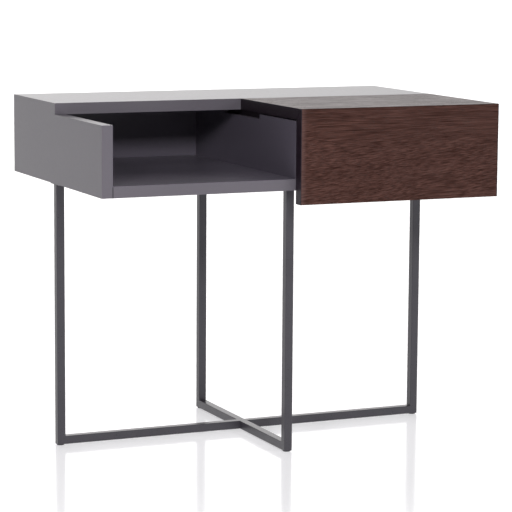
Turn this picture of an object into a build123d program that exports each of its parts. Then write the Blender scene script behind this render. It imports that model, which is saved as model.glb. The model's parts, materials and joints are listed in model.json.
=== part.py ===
from build123d import *
import os

# Side table with an open bay, a walnut-fronted drawer and a crossed steel base.
# Frame: +Z up from the floor, +X to the right seen from the front, the front faces -Y,
# origin on the floor under the centre of the overall width and depth. Millimetres.

# ---- overall sizes ----
overall_width = 600.0
overall_depth = 400.0
overall_height = 499.0
carcass_height = 115.0          # underside of the carcass to the top surface
board = 16.0                    # every carcass board and the two walnut boards

# ---- carcass ----
strip_depth = 189.0             # fixed rear strip of the top
walnut_width = 313.0            # walnut top and drawer front, up to the right end
shadow_gap = 2.0                # over the divider and the right side, under the walnut top
front_gap = 1.0                 # drawer front to the carcass edges when shut
front_drop = 19.0               # drawer front below the carcass: the finger grip
mitre_gap = 0.4                 # between the drawer front and the walnut top
band = 1.0                      # edging on the ends of the walnut boards
rail_board = 9.0                # support rails under the top
rail_pocket = 8.0               # how far the rails are let into the boards
rear_rail_front = 68.0          # rear rail reaches this far in front of the strip
rear_rail_back = 60.0           # and this far behind the strip's front edge
rear_rail_set_in = 6.0          # its left end, back from the divider's open face
front_rail_width = 40.0
pocket_play = 0.3

# ---- drawer box ----
box_board = 12.0
box_clearance = 8.0             # free height over the box, under the rails
box_bottom = 4.0
groove_depth = 5.0
groove_play = 0.15
groove_height = 10.5            # lower edge of the groove above the lower edge of the box
side_space = 12.5               # each side of the box, for one pair of runners

# ---- runners ----
sheet = 1.2
track_height = 5.5              # underside of the cabinet runner above the carcass floor
roller_radius = 8.0
roller_width = 6.0
roller_play = 0.3               # roller to the track it rolls on
lip_play = 0.4
axle_radius = 2.0
axle_play = 0.05
rivet_play = 0.02
roller_edge = 0.5
axle_head_radius = 3.5
axle_head = 0.8
track_width = 10.5
lip_width = 8.0
roller_inset = 16.0             # roller centres from the runner ends

# ---- base ----
tube = 12.0
tube_wall = 1.5
tube_round = 0.8
base_inset_side = 6.0           # legs in from the carcass sides
base_inset_front = 45.0         # front leg behind the carcass front
base_inset_rear = 3.0           # rear leg in from the carcass back
glide_height = 1.4
glide_radius = 5.6
plate = 3.0
plate_length = 50.0
plate_width = 40.0

# ---- fixings ----
hole_play = 0.05
dowel_radius = 4.0
dowel_length = 32.0
dowel_ahead = (29.0, 54.0, 39.0)   # dowels in front of the cabinet runner screws, to miss them
small_dowel_radius = 3.0
small_dowel_length = 24.0

# ---- derived places ----
x_left, x_right = -overall_width / 2, overall_width / 2
y_front = -overall_depth / 2                    # face of the drawer front
y_back = overall_depth / 2
y_carcass = y_front + board + front_gap         # front edges of the carcass
y_panel = y_front + board                       # back of the drawer front
z_top = overall_height
z_shelf = z_top - board                         # underside of the top boards
z_under = z_top - carcass_height                # underside of the carcass
z_floor = z_under + board                       # inside floor of the carcass
z_divider = z_shelf - shadow_gap
y_strip = y_back - strip_depth                  # front edge of the strip
y_inner = y_back - board                        # front of the back panel
x_in_left, x_in_right = x_left + board, x_right - board
x_walnut = x_right - walnut_width               # left end of walnut and divider
x_bay = x_walnut + board                        # left wall of the drawer bay
z_rail = z_shelf - rail_board

box_x0, box_x1 = x_bay + side_space, x_in_right - side_space
depth_free = y_inner - y_panel - 12.0
runner_length = max(n for n in (200, 250, 300, 350, 400, 450, 500) if n <= depth_free)
box_y0, box_y1 = y_panel, y_panel + runner_length
travel = 0.75 * runner_length - 2.5

z_track = z_floor + track_height                # underside of the cabinet runner
z_roll = z_track + sheet                        # surface the drawer roller rolls on
z_back_roller = z_roll + roller_play + roller_radius
z_lip = z_back_roller + roller_radius + lip_play
z_wing = z_lip + sheet + 0.8                    # underside of the drawer runner's wing
z_front_roller = z_wing - roller_play - roller_radius
z_box = z_track + 2.5                           # lower edge of the drawer box
box_height = z_rail - box_clearance - z_box
y_run0 = y_carcass + 2.0                        # front end of the cabinet runner
y_run1 = box_y1 + 3.0
y_front_roller = y_run0 + roller_inset
y_back_roller = box_y1 - roller_inset

leg_x = overall_width / 2 - base_inset_side - tube / 2
leg_y_front = y_carcass + base_inset_front + tube / 2
leg_y_rear = y_back - base_inset_rear - tube / 2
cross_y = (leg_y_front + leg_y_rear) / 2
z_tube = glide_height
z_plate = z_under - plate

NODES = {}


def block(x0, x1, y0, y1, z0, z1):
    """A plain board between two corners."""
    return Pos((x0 + x1) / 2, (y0 + y1) / 2, (z0 + z1) / 2) * Box(x1 - x0, y1 - y0, z1 - z0)


def rod(x, y, z, axis, start, end, radius):
    """A cylinder along an axis, from start to end on it; the other two places are kept."""
    mid, length = (start + end) / 2, abs(end - start)
    if axis == "X":
        return Pos(mid, y, z) * Rot(0, 90, 0) * Cylinder(radius, length)
    if axis == "Y":
        return Pos(x, mid, z) * Rot(90, 0, 0) * Cylinder(radius, length)
    return Pos(x, y, mid) * Cylinder(radius, length)


def prism_xz(points, y0, y1):
    """An outline in X and Z carried from y0 to y1."""
    face = make_face(Polyline([(x, 0, z) for x, z in points], close=True))
    return Pos(0, y0, 0) * extrude(face, amount=y1 - y0, dir=(0, 1, 0))


def prism_yz(points, x0, x1):
    """An outline in Y and Z carried from x0 to x1."""
    face = make_face(Polyline([(0, y, z) for y, z in points], close=True))
    return Pos(x0, 0, 0) * extrude(face, amount=x1 - x0, dir=(1, 0, 0))


def turned(points, x, y, z, direction):
    """A turned solid: (distance along, radius) pairs from (x, y, z) towards a direction."""
    outline = [(0, 0)] + [(r, d) for d, r in points] + [(0, points[-1][0])]
    face = make_face(Polyline([(r, 0, d) for r, d in outline], close=True))
    solid = revolve(face, Axis.Z)
    place = Plane(origin=(x, y, z), z_dir=direction)
    return place * solid


# Screws point from the head's outer face along their direction.
def flat_screw(x, y, z, direction, length, radius=1.75, head=3.4, play=0.0):
    """Countersunk screw, head flush with the surface it starts from."""
    body = turned([(0, head + play), (head - radius, radius + play),
                   (length - 2.0, radius + play), (length + play, 0.3 + play)],
                  x, y, z, direction)
    if play == 0.0:
        body -= recess(x, y, z, direction, head)
    return body


def pan_screw(x, y, z, direction, length, radius=1.5, head=3.0, rise=1.3, play=0.0):
    """Low round-headed screw; (x, y, z) is where the head's underside bears."""
    d = Vector(*direction)
    if play > 0.0:
        return turned([(0, radius + play), (length - 2.0, radius + play),
                       (length + play, 0.3 + play)], x, y, z, direction)
    start = Vector(x, y, z) - d * rise
    body = turned([(0, head * 0.62), (0.35 * rise, head * 0.9), (rise, head), (rise, radius),
                   (rise + length - 2.0, radius), (rise + length, 0.3)],
                  start.X, start.Y, start.Z, direction)
    return body - recess(start.X, start.Y, start.Z, direction, head)


def recess(x, y, z, direction, head):
    """Cross recess cut into a screw head."""
    place = Plane(origin=(x, y, z), z_dir=direction)
    arm, slot, deep = head * 0.95, head * 0.24, 0.9
    return place * (Box(arm, slot, 2 * deep) + Box(slot, arm, 2 * deep))


def group(solids):
    return Compound(children=list(solids)) if len(solids) > 1 else solids[0]


# ---- places of the fixings, shared by holes and screws ----
cabinet_screw_y = [y_run0 + 0.18 * runner_length, y_run0 + 0.56 * runner_length, y_run1 - 30.0]
side_dowel_y = [y - ahead for y, ahead in zip(cabinet_screw_y, dowel_ahead)]
drawer_screw_y = [box_y0 + 0.2 * runner_length, box_y0 + 0.62 * runner_length]
back_dowel_z = [z_floor + 0.3 * (z_shelf - z_floor), z_floor + 0.72 * (z_shelf - z_floor)]
box_dowel_z = [z_box + 0.45 * box_height, z_box + 0.83 * box_height]
z_over_bottom = z_box + groove_height + box_bottom
front_screw_z = [z_over_bottom + k * (z_box + box_height - z_over_bottom) for k in (0.2, 11 / 15)]
z_cabinet_screw = z_back_roller
z_drawer_screw = z_box + 5.0


def carcass_dowels(play=0.0):
    """Dowels between the bottom and the sides and divider, and between back and sides."""
    r, out = dowel_radius + play, []
    deep = 10.0 + play
    rest = dowel_length - 10.0 + play
    for side in (-1, 1):
        wall = side * (overall_width / 2 - board)
        for y in side_dowel_y:
            out.append(rod(0, y, z_under + board / 2, "X", wall + side * deep, wall - side * rest, r))
        for z in back_dowel_z:
            out.append(rod(0, y_back - board / 2, z, "X", wall + side * deep, wall - side * rest, r))
    for y in side_dowel_y:
        out.append(rod(x_walnut + board / 2, y, 0, "Z", z_floor - deep, z_floor + rest, r))
    return out


def box_dowels(play=0.0):
    """Dowels through the inner faces of the box sides into the ends of its front and back."""
    r, out = small_dowel_radius + play, []
    deep, rest = 8.0 + play, small_dowel_length - 8.0 + play
    for wall, side in ((box_x0 + box_board, -1), (box_x1 - box_board, 1)):
        for y in (box_y0 + box_board / 2, box_y1 - box_board / 2):
            for z in box_dowel_z:
                out.append(rod(0, y, z, "X", wall + side * deep, wall - side * rest, r))
    return out


def front_screws(play=0.0):
    """Screws from inside the box through its front into the drawer front."""
    return [pan_screw(x, box_y0 + box_board, z, (0, -1, 0), 22.0, 2.0, 4.0, 1.8, play)
            for x in (box_x0 + box_board + 32.0, box_x1 - box_board - 32.0) for z in front_screw_z]


def rail_screws(play=0.0):
    """Screws down through the rail ends into the pockets they lie in."""
    y_rear = y_strip + (rear_rail_back - rear_rail_front) / 2
    y_fore = y_carcass + 8.0 + front_rail_width / 2
    out = []
    for y, x in ((y_rear, x_bay - rail_pocket / 2 - 1.0), (y_fore, x_bay - rail_pocket / 2)):
        out.append(flat_screw(x, y, z_shelf, (0, 0, -1), 22.0, 1.5, 2.9, play))
    for y in (y_rear, y_fore):
        out.append(flat_screw(x_in_right + rail_pocket / 2, y, z_shelf, (0, 0, -1), 22.0,
                              1.5, 2.9, play))
    return out


def top_screws(play=0.0):
    """Screws up through the rails into the walnut top and the strip."""
    ys = [y_carcass + 8.0 + front_rail_width / 2, y_strip - 0.55 * rear_rail_front,
          y_strip + 0.55 * rear_rail_back]
    return [flat_screw(x, y, z_rail, (0, 0, 1), 19.0, 1.75, 3.4, play)
            for y in ys for x in (x_bay + 0.2 * (x_in_right - x_bay), x_in_right - 0.2 * (x_in_right - x_bay))]


def cabinet_screws(play=0.0):
    """Screws through the cabinet runners into the divider and the right side."""
    out = []
    for wall, side in ((x_bay, -1), (x_in_right, 1)):
        for y in cabinet_screw_y:
            out.append(pan_screw(wall - side * sheet, y, z_cabinet_screw, (side, 0, 0), 11.0,
                                 1.5, 3.0, 1.3, play))
    return out


def drawer_runner_screws(play=0.0):
    """Screws through the drawer runners into the box sides."""
    out = []
    for face, side in ((box_x0, 1), (box_x1, -1)):
        for y in drawer_screw_y:
            out.append(pan_screw(face - side * sheet, y, z_drawer_screw, (side, 0, 0), 9.5,
                                 1.5, 3.0, 1.3, play))
    return out


def leg_places():
    """Centre of each leg, the direction in from it, and its name."""
    return {"left": (-leg_x, cross_y, 1, 0), "right": (leg_x, cross_y, -1, 0),
            "front": (0, leg_y_front, 0, 1), "rear": (0, leg_y_rear, 0, -1)}


def plate_screws(play=0.0):
    """Wood screws up through the leg plates into the carcass bottom."""
    out = []
    for cx, cy, dx, dy in leg_places().values():
        for along, across in ((0.5 * plate_length, 12.0), (0.5 * plate_length, -12.0),
                              (0.78 * plate_length, 0.0)):
            reach = along - tube / 2
            x = cx + dx * reach + dy * across
            y = cy + dy * reach + dx * across
            out.append(flat_screw(x, y, z_plate, (0, 0, 1), 14.0, 2.0, 3.7, play))
    return out


def drill(solid, cutters):
    for c in cutters:
        solid -= c
    return solid


# ---- carcass ----
def side_panel(side):
    """End board: full height and mitred to the strip at the back, lower in front of it."""
    outer, inner = side * overall_width / 2, side * (overall_width / 2 - board)
    z_low = z_shelf if side < 0 else z_divider
    rear = prism_xz([(outer, z_under), (outer, z_top), (inner, z_shelf), (inner, z_under)],
                    y_strip, y_back)
    fore = block(min(outer, inner), max(outer, inner), y_carcass, y_strip, z_under, z_low)
    return rear + fore


def rail_pockets():
    """Room for the rail ends in the divider and in the right side."""
    p = pocket_play
    rear_y = (y_strip - rear_rail_front - p, y_strip + rear_rail_back + p)
    fore_y = (y_carcass + 8.0 - p, y_carcass + 8.0 + front_rail_width + p)
    return [block(x_walnut - 1, x_bay + 1, *rear_y, z_rail, z_top),
            block(x_bay - rail_pocket - p, x_bay + 1, *fore_y, z_rail, z_top),
            block(x_in_right - 1, x_in_right + rail_pocket + p, *rear_y, z_rail, z_shelf),
            block(x_in_right - 1, x_in_right + rail_pocket + p, *fore_y, z_rail, z_top)]


def carcass():
    play = hole_play
    dowels, pockets = carcass_dowels(play), rail_pockets()
    rails, plates, runners = rail_screws(play), plate_screws(play), cabinet_screws(play)
    tops = top_screws(play)
    NODES["left_side_panel"] = drill(side_panel(-1), dowels)
    NODES["right_side_panel"] = drill(side_panel(1), dowels + pockets + rails + runners)
    NODES["top_strip"] = drill(prism_xz([(x_left, z_top), (x_right, z_top), (x_in_right, z_shelf),
                                         (x_in_left, z_shelf)], y_strip, y_back), tops)
    NODES["bottom_panel"] = drill(block(x_in_left, x_in_right, y_carcass, y_back, z_under, z_floor),
                                  dowels + plates)
    NODES["back_panel"] = drill(block(x_in_left, x_in_right, y_inner, y_back, z_floor, z_shelf),
                                dowels)
    divider = block(x_walnut, x_bay, y_carcass, y_strip, z_floor, z_divider)
    divider += block(x_walnut, x_bay, y_strip, y_inner, z_floor, z_shelf)
    NODES["divider"] = drill(divider, dowels + pockets + rails + runners)
    fore0 = y_carcass + 8.0
    NODES["front_support_rail"] = drill(block(x_bay - rail_pocket, x_in_right + rail_pocket, fore0,
                                              fore0 + front_rail_width, z_rail, z_shelf),
                                        rails + tops)
    NODES["rear_support_rail"] = drill(block(x_walnut + rear_rail_set_in, x_in_right + rail_pocket,
                                             y_strip - rear_rail_front, y_strip + rear_rail_back,
                                             z_rail, z_shelf), rails + tops)
    NODES["carcass_dowels"] = group(carcass_dowels())
    NODES["rail_screws"] = group(rail_screws())
    NODES["top_screws"] = group(top_screws())


# ---- walnut top and drawer front ----
def walnut():
    x0, x1 = x_walnut + band, x_right - band
    top = [(y_front, z_top), (y_strip, z_top), (y_strip, z_shelf), (y_panel, z_shelf)]
    drop = mitre_gap * 2 ** 0.5
    z_low = z_under - front_drop
    front = [(y_front, z_top - drop), (y_front, z_low), (y_panel, z_low), (y_panel, z_shelf - drop)]
    NODES["walnut_top"] = drill(prism_yz(top, x0, x1), top_screws(hole_play))
    NODES["walnut_top_band_left"] = prism_yz(top, x_walnut, x0)
    NODES["walnut_top_band_right"] = prism_yz(top, x1, x_right)
    NODES["drawer_front"] = drill(prism_yz(front, x0, x1), front_screws(hole_play))
    NODES["drawer_front_band_left"] = prism_yz(front, x_walnut, x0)
    NODES["drawer_front_band_right"] = prism_yz(front, x1, x_right)


# ---- drawer box ----
def drawer_box():
    z1 = z_box + box_height
    inner_x0, inner_x1 = box_x0 + box_board, box_x1 - box_board
    inner_y0, inner_y1 = box_y0 + box_board, box_y1 - box_board
    g0, g1 = z_box + groove_height, z_box + groove_height + box_bottom + 2 * groove_play
    groove = block(inner_x0 - groove_depth, inner_x1 + groove_depth,
                   inner_y0 - groove_depth, inner_y1 + groove_depth, g0, g1)
    dowels, fronts = box_dowels(hole_play), front_screws(hole_play)
    screws = drawer_runner_screws(hole_play)
    NODES["drawer_side_left"] = drill(block(box_x0, inner_x0, box_y0, box_y1, z_box, z1),
                                      [groove] + dowels + screws)
    NODES["drawer_side_right"] = drill(block(inner_x1, box_x1, box_y0, box_y1, z_box, z1),
                                       [groove] + dowels + screws)
    NODES["drawer_box_front"] = drill(block(inner_x0, inner_x1, box_y0, inner_y0, z_box, z1),
                                      [groove] + dowels + fronts)
    NODES["drawer_box_back"] = drill(block(inner_x0, inner_x1, inner_y1, box_y1, z_box, z1),
                                     [groove] + dowels)
    e = groove_depth - 0.5
    NODES["drawer_bottom"] = block(inner_x0 - e, inner_x1 + e, inner_y0 - e, inner_y1 + e,
                                   g0, g0 + box_bottom)
    NODES["drawer_front_screws"] = group(front_screws())
    NODES["drawer_box_dowels"] = group(box_dowels())


# ---- runners ----
def runners():
    screws_c, screws_d = cabinet_screws(hole_play), drawer_runner_screws(hole_play)
    lip_y0 = y_back_roller - travel - roller_radius - 1.0 - sheet
    for name, wall, s in (("left", x_bay, 1), ("right", x_in_right, -1)):
        def bar(u0, u1, y0, y1, z0, z1):
            a, b = wall + s * u0, wall + s * u1
            return block(min(a, b), max(a, b), y0, y1, z0, z1)

        # cabinet runner: web on the wall, track below, hold-down lip above with its stop
        web = bar(0, sheet, y_run0, y_run1, z_track, z_lip + sheet)
        track = bar(0, track_width, y_run0, y_run1, z_track, z_roll)
        lip = bar(0, lip_width, lip_y0, y_run1, z_lip, z_lip + sheet)
        stop = bar(4.5, lip_width, lip_y0, lip_y0 + sheet, z_lip - 4.5, z_lip)
        cabinet = web + track + lip + stop
        at = wall + s * sheet / 2
        cabinet -= rod(0, y_front_roller, z_front_roller, "X", at - 2, at + 2,
                       axle_radius + rivet_play)
        NODES["cabinet_runner_" + name] = drill(cabinet, screws_c)

        # drawer runner: web on the box side, foot under it, wing over the front roller
        d = side_space
        dweb = bar(d - sheet, d, box_y0 + 2, box_y1, z_box - sheet, z_wing + sheet)
        foot = bar(d - sheet, d + box_board, box_y0 + 2, box_y1, z_box - sheet, z_box)
        wing = bar(3.0, d, box_y0 + 2, box_y1, z_wing, z_wing + sheet)
        drawer = dweb + foot + wing
        at = wall + s * (d - sheet / 2)
        drawer -= rod(0, y_back_roller, z_back_roller, "X", at - 2, at + 2,
                      axle_radius + rivet_play)
        NODES["drawer_runner_" + name] = drill(drawer, screws_d)

        # rollers and the riveted axles they turn on
        u0 = sheet + 1.0
        place = wall + s * u0, wall + s * (u0 + roller_width)
        NODES["cabinet_roller_" + name] = roller(y_front_roller, z_front_roller, *place)
        NODES["cabinet_axle_" + name] = axle(wall, s, y_front_roller, z_front_roller,
                                             u0 + roller_width + 0.2, 1.0)
        u1 = d - sheet - 1.0
        place = wall + s * (u1 - roller_width), wall + s * u1
        NODES["drawer_roller_" + name] = roller(y_back_roller, z_back_roller, *place)
        NODES["drawer_axle_" + name] = axle(wall + s * d, -s, y_back_roller, z_back_roller,
                                            sheet + 1.0 + roller_width + 0.2, 1.0)
    NODES["cabinet_runner_screws"] = group(cabinet_screws())
    NODES["drawer_runner_screws"] = group(drawer_runner_screws())


def roller(y, z, xa, xb):
    """Nylon roller with eased rims."""
    low, high = min(xa, xb), max(xa, xb)
    body = rod(0, y, z, "X", low, high, roller_radius)
    body = chamfer(body.edges().filter_by(GeomType.CIRCLE), roller_edge)
    return body - rod(0, y, z, "X", low - 1, high + 1, axle_radius + axle_play)


def axle(x, s, y, z, reach, collar):
    """Riveted axle: shank through the sheet, collar beside it, head over the roller."""
    shank = rod(0, y, z, "X", x, x + s * (reach + axle_head), axle_radius)
    ring = rod(0, y, z, "X", x + s * sheet, x + s * (sheet + collar - 0.15), axle_head_radius)
    head = rod(0, y, z, "X", x + s * reach, x + s * (reach + axle_head), axle_head_radius)
    return shank + ring + head


# ---- base ----
def tube_bar(length):
    """Square tube along +Z from the origin."""
    outer = extrude(RectangleRounded(tube, tube, tube_round), length)
    hole = tube - 2 * tube_wall
    return outer - extrude(RectangleRounded(hole, hole, max(tube_round - tube_wall, 0.2) + 0.1), length)


def mitre_cutter(corner_x, direction):
    """Half space beyond the 45 degree plane through the outer corner, in a leg's own plane."""
    big = 4 * tube
    wedge = prism_xz([(corner_x, z_tube), (corner_x + direction * big, z_tube + big),
                      (corner_x + direction * big, z_tube - big), (corner_x, z_tube - big)],
                     -big, big)
    return wedge


def base():
    half = tube / 2
    long_z = z_plate - z_tube
    for name, (cx, cy, dx, dy) in leg_places().items():
        turn = {(1, 0): 0, (0, 1): 90, (-1, 0): 180, (0, -1): 270}[(dx, dy)]
        leg = Pos(0, 0, z_tube) * tube_bar(long_z)
        leg -= mitre_cutter(-half, 1)
        NODES["leg_" + name] = Pos(cx, cy, 0) * Rot(0, 0, turn) * leg
        pad = block(-half, plate_length - half, -plate_width / 2, plate_width / 2, z_plate, z_under)
        pad = Pos(cx, cy, 0) * Rot(0, 0, turn) * pad
        NODES["leg_plate_" + name] = drill(pad, plate_screws(hole_play))
        NODES["glide_" + name] = Pos(cx, cy, 0) * chamfer(
            (Pos(0, 0, glide_height / 2) * Cylinder(glide_radius, glide_height))
            .edges().group_by(Axis.Z)[0], 0.5)
    NODES["leg_plate_screws"] = group(plate_screws())

    span = 2 * leg_x + tube
    along_x = Pos(-span / 2, 0, z_tube + half) * Rot(0, 90, 0) * tube_bar(span)
    keep = prism_xz([(-span / 2, z_tube), (-span / 2 + tube, z_tube + tube),
                     (span / 2 - tube, z_tube + tube), (span / 2, z_tube)], -tube, tube)
    NODES["floor_bar_across"] = Pos(0, cross_y, 0) * (along_x & keep)
    for name, end, turn in (("front", leg_y_front - half, 90), ("rear", leg_y_rear + half, 270)):
        run = abs(cross_y - end) - half
        bar = Pos(0, 0, z_tube + half) * Rot(0, 90, 0) * tube_bar(run)
        keep = prism_xz([(0, z_tube), (tube, z_tube + tube), (run, z_tube + tube), (run, z_tube)],
                        -tube, tube)
        NODES["floor_bar_" + name] = Pos(0, end, 0) * Rot(0, 0, turn) * (bar & keep)


carcass()
walnut()
drawer_box()
runners()
base()

os.makedirs("parts", exist_ok=True)
for node, shape in NODES.items():
    export_step(shape, os.path.join("parts", node + ".step"))
print(len(NODES), "nodes, runner", runner_length, "travel", travel)
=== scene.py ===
import json
import math
import bpy
from mathutils import Matrix, Vector


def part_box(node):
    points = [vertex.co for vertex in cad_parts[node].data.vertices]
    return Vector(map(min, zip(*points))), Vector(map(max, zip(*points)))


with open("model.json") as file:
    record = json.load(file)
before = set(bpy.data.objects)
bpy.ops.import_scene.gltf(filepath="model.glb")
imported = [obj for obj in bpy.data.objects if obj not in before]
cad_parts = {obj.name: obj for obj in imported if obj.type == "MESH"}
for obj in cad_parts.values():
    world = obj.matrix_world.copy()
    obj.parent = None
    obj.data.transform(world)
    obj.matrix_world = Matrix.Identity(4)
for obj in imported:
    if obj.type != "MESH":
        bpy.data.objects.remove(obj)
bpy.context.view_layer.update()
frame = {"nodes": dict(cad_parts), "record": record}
nodes = frame["nodes"]
scene = bpy.context.scene
print("frame loaded:", len(nodes), "nodes")


def srgb(r, g, b):
    # screen colour, 0 to 255, to the linear colour the shader wants
    def linear(v):
        v /= 255.0
        return v / 12.92 if v <= 0.04045 else ((v + 0.055) / 1.055) ** 2.4
    return (linear(r), linear(g), linear(b), 1.0)


# metres, and degrees to the left, downwards and about the line of sight; lens and sensor in millimetres
camera = dict(place=(-1.3321, -3.0318, 0.7425), turn=-23.85, down=8.18, roll=0.39,
              lens=159.07, sensor=36, farClip=60)


def addCamera():
    turn, down, roll = (math.radians(camera[key]) for key in ("turn", "down", "roll"))
    ahead = Vector((-math.sin(turn) * math.cos(down), math.cos(turn) * math.cos(down), -math.sin(down)))
    side = Vector((math.cos(turn), math.sin(turn), 0))
    up = side.cross(ahead)
    right = side * math.cos(roll) + up * math.sin(roll)
    top = up * math.cos(roll) - side * math.sin(roll)
    data = bpy.data.cameras.new("tableCamera")
    data.lens, data.sensor_width, data.clip_end = camera["lens"], camera["sensor"], camera["farClip"]
    obj = bpy.data.objects.new("tableCamera", data)
    matrix = Matrix((right, top, -ahead)).transposed().to_4x4()
    matrix.translation = Vector(camera["place"])
    obj.matrix_world = matrix
    scene.collection.objects.link(obj)
    scene.camera = obj


addCamera()
print("camera set")

# each soft box: watts, side in metres, where it stands, tint; all of them face aimPoint
softBoxes = dict(key=(26.0, 0.35, (-0.582, -2.740, 1.495), (1, 1, 1)),
                 leftFill=(15.0, 0.45, (-1.800, -2.146, 1.495), (1.0, 0.94, 1.05)),
                 rightFill=(11.5, 0.7, (2.067, -2.067, 1.5), (1, 1, 1)),
                 high=(5.0, 0.6, (-0.1, -1.2, 2.3), (1, 1, 1)))
aimPoint = (0.0, 0.0, 0.42)


def addSoftBox(name, power, size, place, tint):
    data = bpy.data.lights.new(name, "AREA")
    data.shape, data.size, data.energy, data.color = "SQUARE", size, power, tint
    obj = bpy.data.objects.new(name, data)
    obj.location = place
    obj.rotation_euler = (Vector(aimPoint) - Vector(place)).to_track_quat("-Z", "Y").to_euler()
    scene.collection.objects.link(obj)


# the bright parts of the sky: strength, turn from behind towards the right, full and gone half widths,
# and the heights between which it fades, in degrees
skyParts = dict(behind=(1.7, 13, 0, 60, 54, 74), lowRight=(0.45, 120, 0, 62, 18, 32))
sky = dict(tint=(1, 0.985, 0.985, 1), seen=1.04)  # seen: how white the empty sky looks


def addSky():
    # plain white to look at, but only its bright parts light the table
    world = bpy.data.worlds.new("studio")
    scene.world = world
    world.use_nodes = True
    tree = world.node_tree
    glow = tree.nodes["Background"]
    glow.inputs["Color"].default_value = sky["tint"]

    def number(operation, a, b=0.0):
        node = tree.nodes.new("ShaderNodeMath")
        node.operation = operation
        for socket, value in zip(node.inputs, (a, b)):
            if isinstance(value, bpy.types.NodeSocket):
                tree.links.new(value, socket)
            else:
                socket.default_value = value
        return node.outputs[0]

    def fade(value, full, gone):
        node = tree.nodes.new("ShaderNodeMapRange")
        node.interpolation_type = "SMOOTHSTEP"
        tree.links.new(value, node.inputs["Value"])
        node.inputs["From Min"].default_value = math.radians(full)
        node.inputs["From Max"].default_value = math.radians(gone)
        node.inputs["To Min"].default_value, node.inputs["To Max"].default_value = 1, 0
        return node.outputs["Result"]

    way = tree.nodes.new("ShaderNodeTexCoord")
    axes = tree.nodes.new("ShaderNodeSeparateXYZ")
    tree.links.new(way.outputs["Generated"], axes.inputs[0])
    height = number("ARCSINE", axes.outputs["Z"])
    turn = number("ARCTAN2", axes.outputs["X"], axes.outputs["Y"])
    total = 0.0
    for strength, aim, full, gone, lowTop, highTop in skyParts.values():
        apart = number("ARCCOSINE", number("COSINE", number("SUBTRACT", turn, math.radians(aim))))
        part = number("MULTIPLY", fade(apart, full, gone), fade(height, lowTop, highTop))
        total = number("ADD", total, number("MULTIPLY", part, strength))
    seen = tree.nodes.new("ShaderNodeLightPath").outputs["Is Camera Ray"]
    total = number("MAXIMUM", total, number("MULTIPLY", seen, sky["seen"]))
    tree.links.new(total, glow.inputs["Strength"])


floorLook = dict(size=24.0, tint=srgb(247, 247, 249), rough=0.12, ior=1.5, glow=0.45)


def addFloor():
    half = floorLook["size"] / 2
    mesh = bpy.data.meshes.new("studioFloor")
    corners = [(-half, -half, 0), (half, -half, 0), (half, half, 0), (-half, half, 0)]
    mesh.from_pydata(corners, [], [(0, 1, 2, 3)])
    floor = bpy.data.objects.new("studioFloor", mesh)
    scene.collection.objects.link(floor)
    mat = bpy.data.materials.new("floorGloss")
    mat.use_nodes = True
    shader = mat.node_tree.nodes["Principled BSDF"]
    for key, value in (("Base Color", floorLook["tint"]), ("Roughness", floorLook["rough"]),
                       ("IOR", floorLook["ior"]), ("Emission Color", (1, 1, 1, 1)),
                       ("Emission Strength", floorLook["glow"])):
        shader.inputs[key].default_value = value
    mesh.materials.append(mat)


addSky()
addFloor()
for name, values in softBoxes.items():
    addSoftBox(name, *values)
scene.view_settings.view_transform = "Standard"
print("studio set:", len(softBoxes), "soft boxes")


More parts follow.
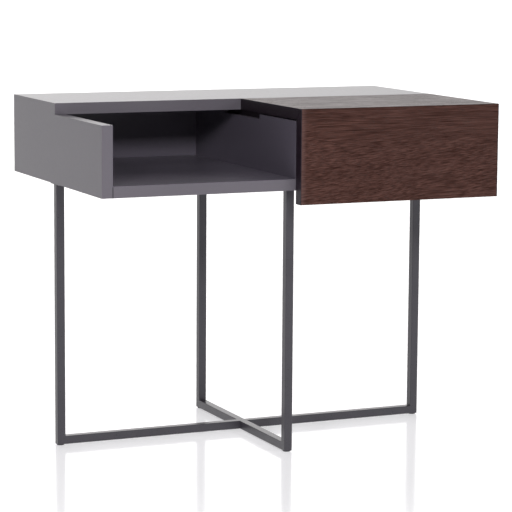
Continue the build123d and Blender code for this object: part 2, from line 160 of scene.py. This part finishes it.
class Graph:
    # a small builder round one material's node tree
    def __init__(self, name):
        self.mat = bpy.data.materials.new(name)
        self.mat.use_nodes = True
        self.tree = self.mat.node_tree
        self.shader = self.tree.nodes["Principled BSDF"]
        self.place = self.add("ShaderNodeTexCoord").outputs["Object"]

    def add(self, kind, **settings):
        node = self.tree.nodes.new(kind)
        for key, value in settings.items():
            setattr(node, key, value)
        return node

    def put(self, node, key, value):
        socket = node.inputs[key]
        if isinstance(value, bpy.types.NodeSocket):
            self.tree.links.new(value, socket)
        else:
            socket.default_value = value

    def axes(self):
        # the X, Y and Z of the piece's own place
        node = self.add("ShaderNodeSeparateXYZ")
        self.put(node, 0, self.place)
        return node.outputs

    def grain(self, cells, detail=2, rough=0.5, source=None, shift=(0, 0, 0)):
        # noise with so many cells per metre along each axis
        spot = self.add("ShaderNodeMapping")
        for key, value in (("Vector", source or self.place), ("Scale", cells), ("Location", shift)):
            self.put(spot, key, value)
        node = self.add("ShaderNodeTexNoise")
        for key, value in (("Vector", spot.outputs["Vector"]), ("Scale", 1), ("Detail", detail),
                           ("Roughness", rough)):
            self.put(node, key, value)
        return node.outputs["Fac"]

    def math(self, operation, a, b=0.0):
        node = self.add("ShaderNodeMath", operation=operation)
        self.put(node, 0, a)
        self.put(node, 1, b)
        return node.outputs[0]

    def weigh(self, *pairs):
        # sum of value times weight
        total = self.math("MULTIPLY", *pairs[0])
        for pair in pairs[1:]:
            total = self.math("ADD", total, self.math("MULTIPLY", *pair))
        return total

    def product(self, first, *others):
        for other in others:
            first = self.math("MULTIPLY", first, other)
        return first

    def spread(self, value, low, high, toLow=0.0, toHigh=1.0, smooth=False):
        node = self.add("ShaderNodeMapRange", clamp=True)
        if smooth:
            node.interpolation_type = "SMOOTHSTEP"
        for key, v in (("Value", value), ("From Min", low), ("From Max", high),
                       ("To Min", toLow), ("To Max", toHigh)):
            self.put(node, key, v)
        return node.outputs["Result"]

    def mix(self, factor, a, b):
        node = self.add("ShaderNodeMix", data_type="RGBA")
        for key, value in ((0, factor), (6, a), (7, b)):
            self.put(node, key, value)
        return node.outputs[2]

    def ramp(self, factor, *colours):
        # colours at even steps from 0 to 1
        node = self.add("ShaderNodeValToRGB")
        self.put(node, "Fac", factor)
        points = node.color_ramp.elements
        while len(points) < len(colours):
            points.new(0.5)
        for i, colour in enumerate(colours):
            points[i].position, points[i].color = i / (len(colours) - 1), colour
        return node.outputs["Color"]

    def bump(self, height, strength, depth):
        node = self.add("ShaderNodeBump")
        for key, value in (("Height", height), ("Strength", strength), ("Distance", depth)):
            self.put(node, key, value)
        return node.outputs["Normal"]

    def finish(self, colour, rough, normal, fixed):
        for key, value in (("Base Color", colour), ("Roughness", rough), ("Normal", normal)):
            self.put(self.shader, key, value)
        for key, value in fixed.items():
            self.shader.inputs[key].default_value = value
        return self.mat


def evenly(perMetre):
    return (perMetre, perMetre, perMetre)


noiseSpan = (0.3, 0.7)  # where nearly all of a noise's values lie

# every grain here and below: cells per metre, octaves, roughness
lacquer = dict(base=srgb(104, 100, 107), pale=srgb(107, 103, 110), cloud=(evenly(6), 3, 0.5),
               fleck=srgb(128, 126, 130), fine=(evenly(900), 2, 0.6), fleckSpan=(0.35, 0.65, 0.0, 0.05),
               seam=srgb(40, 36, 43), seamHalf=(0.0004, 0.0009),  # half widths, full and gone
               # the inside tint is painted shade: the violet cast of the shadowed bay
               inside=srgb(105, 100, 111), softEdge=(0.0002, 0.0006),
               peel=(evenly(620), 2, 0.45), mist=(evenly(2600), 1, 0.5), mistShare=0.25,
               sheen=(evenly(160), 2, 0.5), rough=(0.28, 0.31), relief=(0.12, 0.00003), fixed={"IOR": 1.44})


def greyLacquer():
    g = Graph("greyLacquer")
    tint = g.mix(g.spread(g.grain(*lacquer["cloud"]), *noiseSpan), lacquer["base"], lacquer["pale"])
    tint = g.mix(g.spread(g.grain(*lacquer["fine"]), *lacquer["fleckSpan"]), tint, lacquer["fleck"])

    x, y, z = g.axes()
    near, far = lacquer["softEdge"]
    bayLeft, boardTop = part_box("left_side_panel")[1].x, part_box("bottom_panel")[1].z
    bayRight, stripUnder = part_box("divider")[0].x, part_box("top_strip")[0].z
    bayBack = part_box("back_panel")[0].y
    # hairline under the lacquer where the bottom board meets the left side
    joint = g.spread(g.math("ABSOLUTE", g.math("SUBTRACT", x, bayLeft)), *lacquer["seamHalf"], 1.0, 0.0)
    below = g.spread(z, boardTop - far, boardTop - near, 1.0, 0.0)
    tint = g.mix(g.product(joint, below), tint, lacquer["seam"])
    # painted shade: the open bay's inside faces, which lie in shadow, are tinted a shade more violet
    bayShadeMask = g.product(g.spread(x, bayLeft - far, bayLeft - near),
                    g.spread(x, bayRight + near, bayRight + far, 1.0, 0.0),
                    g.spread(z, boardTop - far, boardTop - near),
                    g.spread(z, stripUnder + near, stripUnder + far, 1.0, 0.0),
                    g.spread(y, bayBack + near, bayBack + far, 1.0, 0.0))
    tint = g.mix(bayShadeMask, tint, lacquer["inside"])

    height = g.weigh((g.grain(*lacquer["peel"]), 1.0), (g.grain(*lacquer["mist"]), lacquer["mistShare"]))
    rough = g.spread(g.grain(*lacquer["sheen"]), *noiseSpan, *lacquer["rough"])
    return g.finish(tint, rough, g.bump(height, *lacquer["relief"]), lacquer["fixed"])


walnut = dict(dark=srgb(44, 18, 8), mid=srgb(67, 35, 26), light=srgb(88, 52, 42), contrast=(0.38, 0.62),
              bend=((5, 10, 10), 1, 0.4), leaf=(1.7, 0.4, 2.3), bendBy=0.016,  # slow waves along the leaf
              ripple=((26, 50, 50), 2, 0.5), rippleBy=0.0006,
              climb=(0.49, 0.44, 0.0, 0.075),  # slope: none above the first height, full below the second
              bands=((4, 60, 60), 3, 0.5), longStreaks=((12, 680, 680), 1, 0.5),
              streaks=((34, 980, 980), 2, 0.6), shares=(0.14, 0.36, 0.5),
              cool=srgb(60, 33, 27), patches=((5, 14, 14), 2, 0.5), patchSpan=(0.4, 0.7, 0.0, 0.3),
              pore=srgb(26, 12, 8), pores=((110, 1700, 1700), 1, 0.5), poreSpan=(0.6, 0.68), poreShare=0.6,
              arrisHighlight=srgb(96, 70, 66), arris=(0.0014, 0.008), highlightShare=0.55,  # painted highlight along the veneer's left arris, beside the edging
              rough=(0.54, 0.32), poreRough=0.15, shine=(0.24, 0.76), ridge=0.5,
              relief=(0.4, 0.00014), fixed={"IOR": 1.36})


def walnutVeneer():
    g = Graph("walnutVeneer")
    x, y, z = g.axes()
    # slow waves bend the grain, and it climbs to the right below the drawer's upper edge
    lift = g.weigh((g.grain(*walnut["bend"], shift=walnut["leaf"]), walnut["bendBy"]),
                   (g.grain(*walnut["ripple"]), walnut["rippleBy"]))
    lift = g.math("SUBTRACT", lift, g.math("MULTIPLY", x, g.spread(z, *walnut["climb"], smooth=True)))
    offset = g.add("ShaderNodeCombineXYZ")
    g.put(offset, "Y", lift)
    g.put(offset, "Z", lift)
    moved = g.add("ShaderNodeVectorMath", operation="ADD")
    g.put(moved, 0, g.place)
    g.put(moved, 1, offset.outputs[0])
    wood = moved.outputs[0]

    streaks = g.grain(*walnut["streaks"], source=wood)
    layers = (g.grain(*walnut["bands"], source=wood), g.grain(*walnut["longStreaks"], source=wood), streaks)
    tone = g.spread(g.weigh(*zip(layers, walnut["shares"])), *walnut["contrast"])
    colour = g.ramp(tone, walnut["dark"], walnut["mid"], walnut["light"])
    colour = g.mix(g.spread(g.grain(*walnut["patches"]), *walnut["patchSpan"]), colour, walnut["cool"])
    pits = g.spread(g.grain(*walnut["pores"], source=wood), *walnut["poreSpan"])
    colour = g.mix(g.math("MULTIPLY", pits, walnut["poreShare"]), colour, walnut["pore"])
    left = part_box("drawer_front")[0].x
    # painted highlight: a paler band where the drawer front's left arris catches the light
    arrisGlint = g.spread(x, *(left + reach for reach in walnut["arris"]), walnut["highlightShare"], 0.0)
    colour = g.mix(arrisGlint, colour, walnut["arrisHighlight"])

    # the open grain shines less along its dark streaks
    rough = g.weigh((g.spread(tone, 0.0, 1.0, *walnut["rough"]), 1.0), (pits, walnut["poreRough"]))
    g.put(g.shader, "Specular IOR Level", g.spread(tone, 0.0, 1.0, *walnut["shine"]))
    height = g.math("SUBTRACT", g.math("MULTIPLY", streaks, walnut["ridge"]), pits)
    return g.finish(colour, rough, g.bump(height, *walnut["relief"]), walnut["fixed"])


powder = dict(base=srgb(66, 64, 70), pale=srgb(71, 69, 75), cloud=(evenly(20), 3, 0.5),
              fleck=srgb(94, 92, 98), grit=(evenly(1500), 2, 0.6), fleckSpan=(0.4, 0.7, 0.0, 0.12),
              sheen=(evenly(700), 2, 0.5), rough=(0.27, 0.35), relief=(0.3, 0.00005), fixed={})


def powderCoat():
    g = Graph("anthracitePowder")
    tint = g.mix(g.spread(g.grain(*powder["cloud"]), *noiseSpan), powder["base"], powder["pale"])
    grit = g.grain(*powder["grit"])
    tint = g.mix(g.spread(grit, *powder["fleckSpan"]), tint, powder["fleck"])
    rough = g.spread(g.grain(*powder["sheen"]), *noiseSpan, *powder["rough"])
    return g.finish(tint, rough, g.bump(grit, *powder["relief"]), powder["fixed"])


foil = dict(dark=srgb(150, 148, 152), light=srgb(160, 158, 161), across=((900, 900, 120), 2, 0.5),
            along=((120, 120, 900), 2, 0.5), weaveSpan=(0.8, 1.2), rough=(0.42, 0.52),
            relief=(0.3, 0.00006), fixed={})


def greyFoil():
    g = Graph("greyFoil")
    weave = g.math("ADD", g.grain(*foil["across"]), g.grain(*foil["along"]))
    tint = g.mix(g.spread(weave, *foil["weaveSpan"]), foil["dark"], foil["light"])
    rough = g.spread(weave, *foil["weaveSpan"], *foil["rough"])
    return g.finish(tint, rough, g.bump(weave, *foil["relief"]), foil["fixed"])


ply = dict(dark=srgb(28, 22, 28), light=srgb(38, 30, 36), layers=((6, 6, 700), 1, 0.5), layerSpan=(0.45, 0.55),
           deep=srgb(20, 16, 20), fibre=((20, 500, 300), 3, 0.5), fibreSpan=(0.4, 0.6, 0.0, 0.4),
           rough=(0.6, 0.75), relief=(0.3, 0.0001), fixed={})


def stainedPly():
    g = Graph("stainedPly")
    tint = g.mix(g.spread(g.grain(*ply["layers"]), *ply["layerSpan"]), ply["dark"], ply["light"])
    fibre = g.grain(*ply["fibre"])
    tint = g.mix(g.spread(fibre, *ply["fibreSpan"]), tint, ply["deep"])
    rough = g.spread(fibre, *noiseSpan, *ply["rough"])
    return g.finish(tint, rough, g.bump(fibre, *ply["relief"]), ply["fixed"])


# finishes of one kind: two tones, and a sheen and a relief with grains of their own
edging = dict(name="darkEdging", first=srgb(37, 25, 36), second=srgb(29, 19, 28), toneSpan=(0.35, 0.65),
              tone=((30, 30, 500), 3, 0.5), sheen=(evenly(300), 2, 0.5), rough=(0.42, 0.5),
              grit=(evenly(900), 2, 0.5), relief=(0.2, 0.00005), fixed={"IOR": 1.38})
beech = dict(name="beechDowel", first=srgb(205, 170, 128), second=srgb(222, 190, 148), toneSpan=(0.35, 0.65),
             tone=((60, 700, 700), 3, 0.5), sheen=((60, 700, 700), 3, 0.5), rough=(0.5, 0.62),
             grit=((60, 700, 700), 3, 0.5), relief=(0.3, 0.0001), fixed={})
zinc = dict(name="zincPlate", first=srgb(188, 190, 192), second=srgb(206, 206, 202), toneSpan=(0.35, 0.65),
            tone=(evenly(500), 3, 0.5), sheen=((2600, 2600, 400), 2, 0.5), rough=(0.24, 0.38),
            grit=((2600, 2600, 400), 2, 0.5), relief=(0.15, 0.00003), fixed={"Metallic": 1.0})
epoxy = dict(name="whiteEpoxySteel", first=srgb(226, 226, 223), second=srgb(234, 234, 231), toneSpan=noiseSpan,
             tone=(evenly(60), 2, 0.5), sheen=(evenly(800), 2, 0.5), rough=(0.3, 0.38),
             grit=(evenly(800), 2, 0.5), relief=(0.25, 0.00006), fixed={})
nylon = dict(name="nylon", first=srgb(232, 231, 224), second=srgb(240, 239, 234), toneSpan=noiseSpan,
             tone=(evenly(240), 2, 0.5), sheen=(evenly(240), 2, 0.5), rough=(0.36, 0.44),
             grit=(evenly(240), 2, 0.5), relief=(0.2, 0.00005), fixed={"Subsurface Weight": 0.15})
glide = dict(name="glidePlastic", first=srgb(30, 29, 31), second=srgb(42, 41, 43), toneSpan=noiseSpan,
             tone=(evenly(1800), 2, 0.5), sheen=(evenly(1800), 2, 0.5), rough=(0.5, 0.62),
             grit=(evenly(1800), 2, 0.5), relief=(0.3, 0.00006), fixed={})


def twoTone(look):
    g = Graph(look["name"])
    tint = g.mix(g.spread(g.grain(*look["tone"]), *look["toneSpan"]), look["first"], look["second"])
    rough = g.spread(g.grain(*look["sheen"]), *noiseSpan, *look["rough"])
    return g.finish(tint, rough, g.bump(g.grain(*look["grit"]), *look["relief"]), look["fixed"])


finishes = {"grey_lacquer": greyLacquer(), "walnut_veneer": walnutVeneer(), "dark_edging": twoTone(edging),
            "grey_foil": greyFoil(), "rail_board": stainedPly(), "dowel_wood": twoTone(beech),
            "anthracite_powder": powderCoat(), "white_epoxy_steel": twoTone(epoxy), "zinc_steel": twoTone(zinc),
            "nylon": twoTone(nylon), "glide_plastic": twoTone(glide)}
slotOf = {row["node"]: row["material_slot"] for row in frame["record"]["subparts"]}
for name, obj in nodes.items():
    obj.data.materials.clear()
    obj.data.materials.append(finishes[slotOf[name]])
print("finishes made:", len(finishes))

# width in metres and steps of each board's eased edges
easing = {"grey_lacquer": (0.0006, 2), "walnut_veneer": (0.0004, 2), "dark_edging": (0.0002, 1),
          "grey_foil": (0.0006, 2), "rail_board": (0.0004, 1)}
sharpFrom = 40  # only edges sharper than this many degrees are eased


def easeEdges(obj, width, steps):
    bevel = obj.modifiers.new("easedEdges", "BEVEL")
    bevel.width, bevel.segments = width, steps
    bevel.limit_method, bevel.angle_limit = "ANGLE", math.radians(sharpFrom)
    bevel.use_clamp_overlap = False
    bevel.harden_normals = True


for name, obj in nodes.items():
    if slotOf[name] in easing:
        easeEdges(obj, *easing[slotOf[name]])
print("edges eased")
